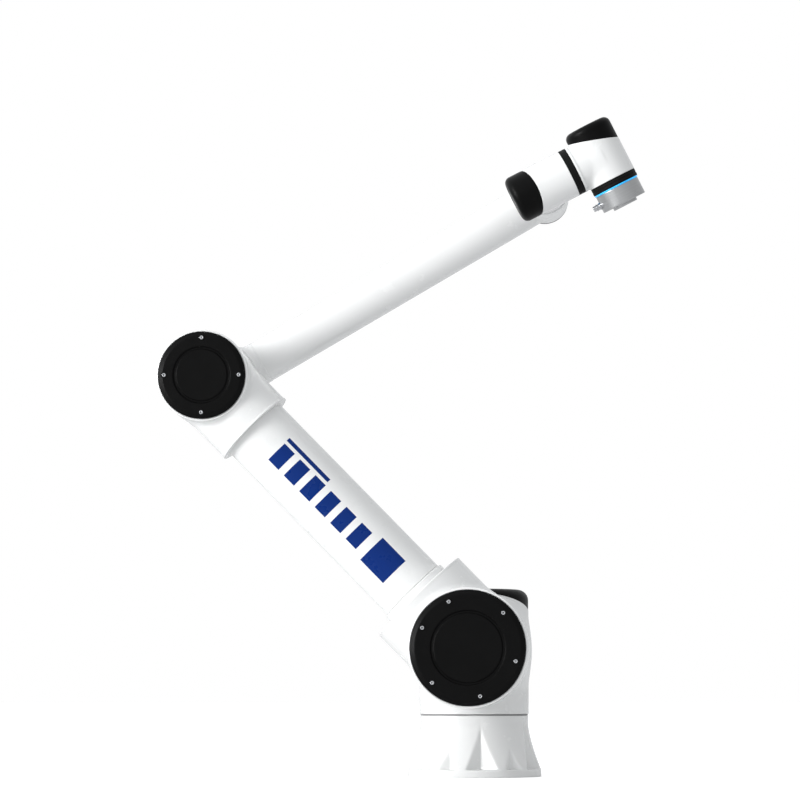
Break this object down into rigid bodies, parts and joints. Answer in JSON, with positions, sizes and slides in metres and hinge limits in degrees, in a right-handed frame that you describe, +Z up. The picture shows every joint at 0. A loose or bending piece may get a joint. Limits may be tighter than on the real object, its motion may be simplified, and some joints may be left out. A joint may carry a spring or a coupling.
{
  "type": "collaborative robot arm",
  "caption": "Six-axis collaborative robot arm with round joint modules, tubular links, a flanged base and a tool flange at the wrist.",
  "frame": {"origin": "centre of the mounting face under the base flange, on the base rotation axis", "axes": "+Z up along the base rotation axis, away from the mounting face; +Y to the back, so the shoulder and elbow caps face -Y; +X to the right seen from the front, and the arm folds in the XZ plane"},
  "size_m": [0.7531, 0.4075, 1.0302],
  "materials": {
    "white_paint": "gloss",
    "black_cover": "satin",
    "seal_rubber": "matte",
    "machined_steel": "satin",
    "tool_aluminium": "satin",
    "motor_winding": "satin",
    "circuit_board": "satin",
    "status_light": "gloss"
  },
  "bodies": {
    "base": {"base_cable_socket": "black_cover", "base_casting": "white_paint", "j1_gear_output": "machined_steel"},
    "shoulder": {"j1_drive_board": "circuit_board", "j1_gear_ring": "machined_steel", "j1_output_bearing": "machined_steel", "j1_seal_ring": "seal_rubber", "j1_stator": "motor_winding", "j2_gear_output": "machined_steel", "shoulder_housing": "white_paint", "shoulder_lid": "black_cover"},
    "upper_arm": {"elbow_cap": "black_cover", "elbow_housing": "white_paint", "j2_drive_board": "circuit_board", "j2_gear_ring": "machined_steel", "j2_output_bearing": "machined_steel", "j2_seal_ring": "seal_rubber", "j2_stator": "motor_winding", "j3_drive_board": "circuit_board", "j3_gear_ring": "machined_steel", "j3_output_bearing": "machined_steel", "j3_seal_ring": "seal_rubber", "j3_stator": "motor_winding", "shoulder_lift_cap": "black_cover", "shoulder_lift_housing": "white_paint", "upper_arm_collar": "white_paint", "upper_arm_tube": "white_paint"},
    "forearm": {"forearm_root_housing": "white_paint", "forearm_tube": "white_paint", "j3_gear_output": "machined_steel", "j4_drive_board": "circuit_board", "j4_output_bearing": "machined_steel", "j4_seal_ring": "seal_rubber", "j4_stator": "motor_winding", "wrist_1_drive_cap": "black_cover", "wrist_1_drive_housing": "white_paint"},
    "wrist_1": {"j4_gear_output": "machined_steel", "j5_drive_board": "circuit_board", "j5_output_bearing": "machined_steel", "j5_seal_ring": "seal_rubber", "j5_stator": "motor_winding", "wrist_2_housing": "white_paint", "wrist_2_lid": "black_cover"},
    "wrist_2": {"j5_gear_output": "machined_steel", "j6_drive_board": "circuit_board", "j6_output_bearing": "machined_steel", "j6_seal_ring": "seal_rubber", "j6_stator": "motor_winding", "wrist_3_housing": "white_paint", "wrist_3_lid": "black_cover"},
    "tool_flange": {"j6_gear_output": "machined_steel", "status_light_ring": "status_light", "tool_connector": "machined_steel", "tool_flange": "tool_aluminium"},
    "j1_rotor": {"j1_rotor": "machined_steel"},
    "j2_rotor": {"j2_rotor": "machined_steel"},
    "j3_rotor": {"j3_rotor": "machined_steel"},
    "j4_rotor": {"j4_rotor": "machined_steel"},
    "j5_rotor": {"j5_rotor": "machined_steel"},
    "j6_rotor": {"j6_rotor": "machined_steel"}
  },
  "joints": [
    {"name": "base_rotation", "type": "hinge", "parent": "base", "child": "shoulder", "pos_m": [0, 0, 0.2], "axis": [0, 0, 1], "range_deg": [-360, 360]},
    {"name": "shoulder_lift", "type": "hinge", "parent": "shoulder", "child": "upper_arm", "pos_m": [0, -0.205, 0.2], "axis": [0, 1, 0], "range_deg": [-90.7, 179.3]},
    {"name": "elbow", "type": "hinge", "parent": "upper_arm", "child": "forearm", "pos_m": [-0.40754, -0.205, 0.61689], "axis": [0, 1, 0], "range_deg": [-254.1, 45.9]},
    {"name": "wrist_1_swing", "type": "hinge", "parent": "forearm", "child": "wrist_1", "pos_m": [0.11594, -0.065, 0.92218], "axis": [0, 1, 0], "range_deg": [-360, 360]},
    {"name": "wrist_2_roll", "type": "hinge", "parent": "wrist_1", "child": "wrist_2", "pos_m": [0.20594, -0.164, 0.96803], "axis": [0.891, 0, 0.454], "range_deg": [-180, 180]},
    {"name": "tool_rotation", "type": "hinge", "parent": "wrist_2", "child": "tool_flange", "pos_m": [0.20594, -0.164, 0.96803], "axis": [-0.4506, -0.1219, 0.8844], "range_deg": [-360, 360]},
    {"name": "j1_rotor_spin", "type": "hinge", "parent": "shoulder", "child": "j1_rotor", "pos_m": [0, 0, 0.2], "axis": [0, 0, 1], "range_deg": [-36370, 36370]},
    {"name": "j2_rotor_spin", "type": "hinge", "parent": "upper_arm", "child": "j2_rotor", "pos_m": [0, -0.205, 0.2], "axis": [0, 1, 0], "range_deg": [-18119.3, 18119.3]},
    {"name": "j3_rotor_spin", "type": "hinge", "parent": "upper_arm", "child": "j3_rotor", "pos_m": [-0.40754, -0.205, 0.61689], "axis": [0, 1, 0], "range_deg": [-25674.1, 25674.1]},
    {"name": "j4_rotor_spin", "type": "hinge", "parent": "forearm", "child": "j4_rotor", "pos_m": [0.11594, -0.065, 0.92218], "axis": [0, 1, 0], "range_deg": [-36370, 36370]},
    {"name": "j5_rotor_spin", "type": "hinge", "parent": "wrist_1", "child": "j5_rotor", "pos_m": [0.20594, -0.164, 0.96803], "axis": [0.891, 0, 0.454], "range_deg": [-18190, 18190]},
    {"name": "j6_rotor_spin", "type": "hinge", "parent": "wrist_2", "child": "j6_rotor", "pos_m": [0.20594, -0.164, 0.96803], "axis": [-0.4506, -0.1219, 0.8844], "range_deg": [-36370, 36370]}
  ],
  "couplings": [
    {"joint": "j1_rotor_spin", "follows": "base_rotation", "ratio": 101},
    {"joint": "j2_rotor_spin", "follows": "shoulder_lift", "ratio": 101},
    {"joint": "j3_rotor_spin", "follows": "elbow", "ratio": -101},
    {"joint": "j4_rotor_spin", "follows": "wrist_1_swing", "ratio": -101},
    {"joint": "j5_rotor_spin", "follows": "wrist_2_roll", "ratio": -101},
    {"joint": "j6_rotor_spin", "follows": "tool_rotation", "ratio": -101}
  ]
}
